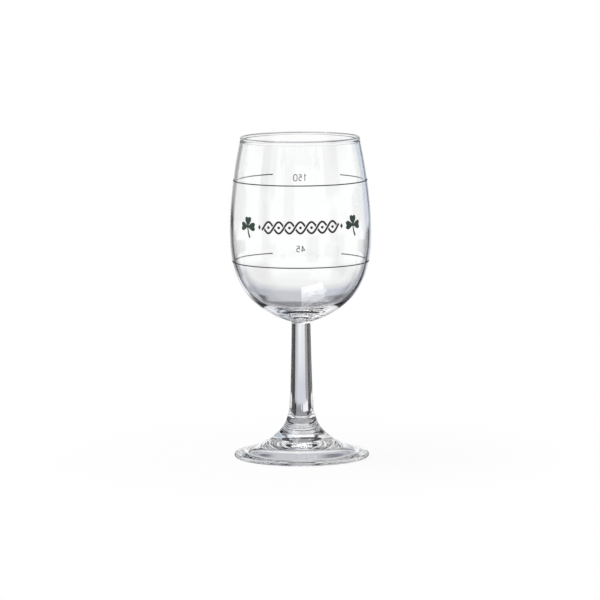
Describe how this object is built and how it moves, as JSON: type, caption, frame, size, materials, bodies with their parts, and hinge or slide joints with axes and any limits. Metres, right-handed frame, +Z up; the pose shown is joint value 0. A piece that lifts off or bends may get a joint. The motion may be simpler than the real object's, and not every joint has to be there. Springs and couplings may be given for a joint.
{
  "type": "stemmed irish coffee glass",
  "caption": "Clear stemmed glass for hot coffee with whiskey and cream, with fill lines, shamrocks and a twisted band printed on its tall tulip bowl.",
  "frame": {"origin": "middle of the foot, on the plane of the table that the glass stands on", "axes": "+Z up along the stem and through the middle of the rim, -Y towards the viewer of the front print, +X to that viewer's right"},
  "size_m": [0.0648, 0.0649, 0.1472],
  "materials": {
    "clear_glass": "gloss",
    "grey_green_enamel": "satin",
    "dark_green_enamel": "satin",
    "dark_brown_enamel": "satin"
  },
  "bodies": {
    "root": {"bowl": "clear_glass", "stem": "clear_glass", "foot": "clear_glass", "upper_fill_line": "grey_green_enamel", "lower_fill_line": "grey_green_enamel", "left_shamrock": "dark_green_enamel", "right_shamrock": "dark_green_enamel", "twisted_band": "dark_brown_enamel", "band_beads": "dark_green_enamel", "upper_measure_mark": "grey_green_enamel", "lower_measure_mark": "grey_green_enamel"}
  },
  "joints": []
}
